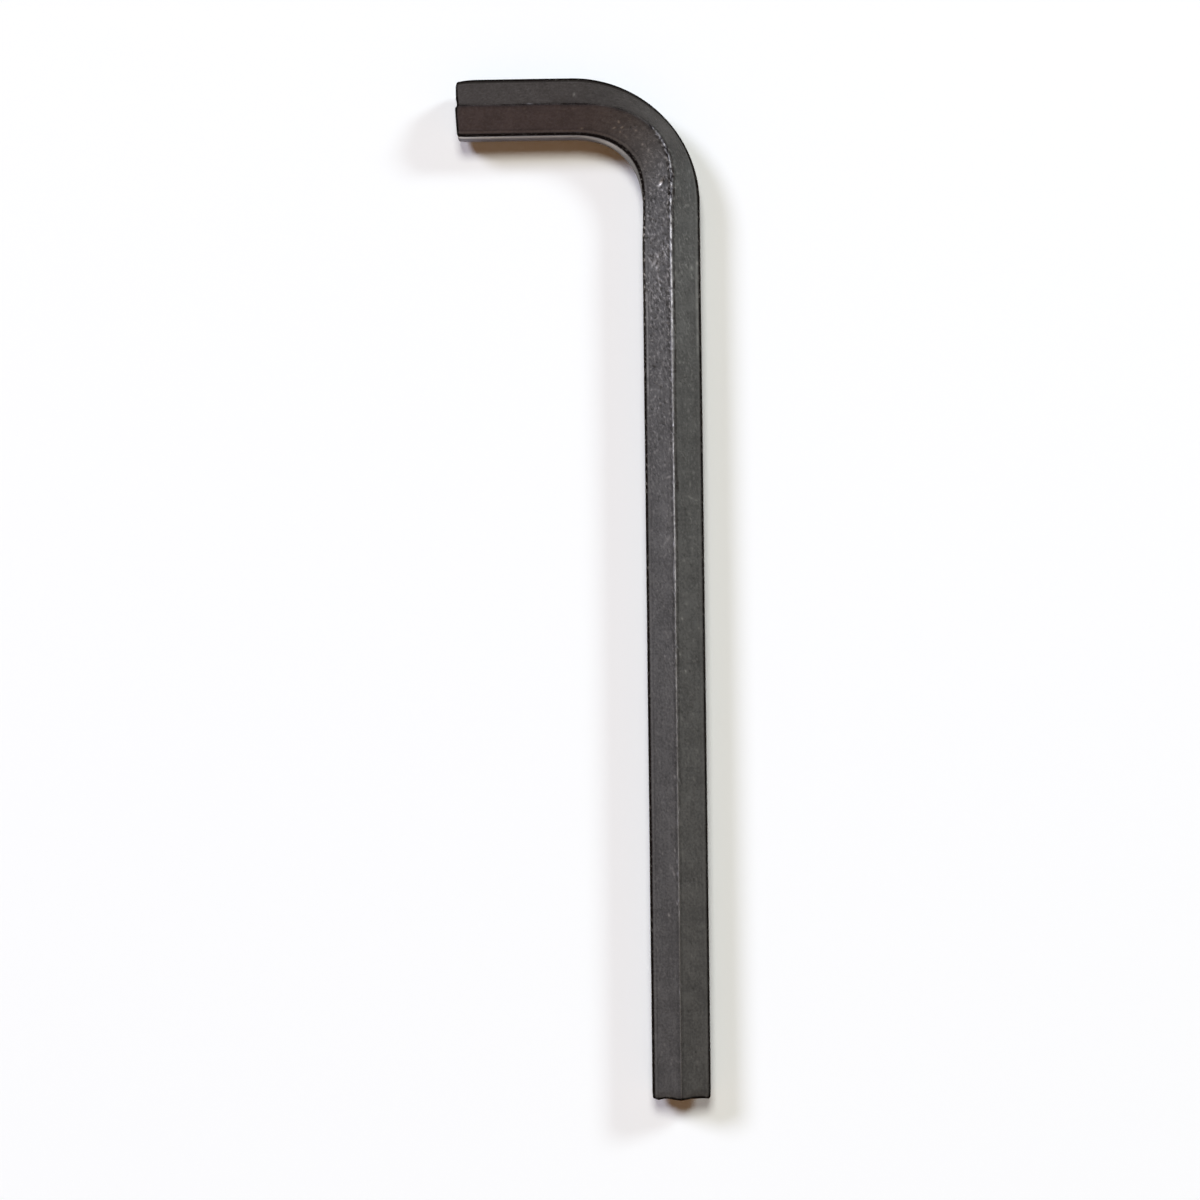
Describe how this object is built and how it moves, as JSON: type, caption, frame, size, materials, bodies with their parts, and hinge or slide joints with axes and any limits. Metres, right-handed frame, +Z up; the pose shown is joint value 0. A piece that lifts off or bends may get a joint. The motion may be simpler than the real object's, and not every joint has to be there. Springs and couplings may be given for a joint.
{
  "type": "hex key",
  "caption": "L-shaped hex key bent from hexagonal steel bar, with a long arm, a short arm and a black oxide finish.",
  "frame": {"origin": "bottom centre of the key's box, as it lies flat on a table", "axes": "+Z up, square to the plane of the two arms; the long arm runs along Y on the +X side with its tip towards -Y; the short arm is at the +Y end and points to -X"},
  "size_m": [0.042, 0.176, 0.0113],
  "materials": {
    "black_oxide_steel": "black oxide over drawn steel, grey-brown and satin, worn to bright metal along the upper edge near the bend"
  },
  "bodies": {
    "root": {"hex_key": "black_oxide_steel"}
  },
  "joints": []
}
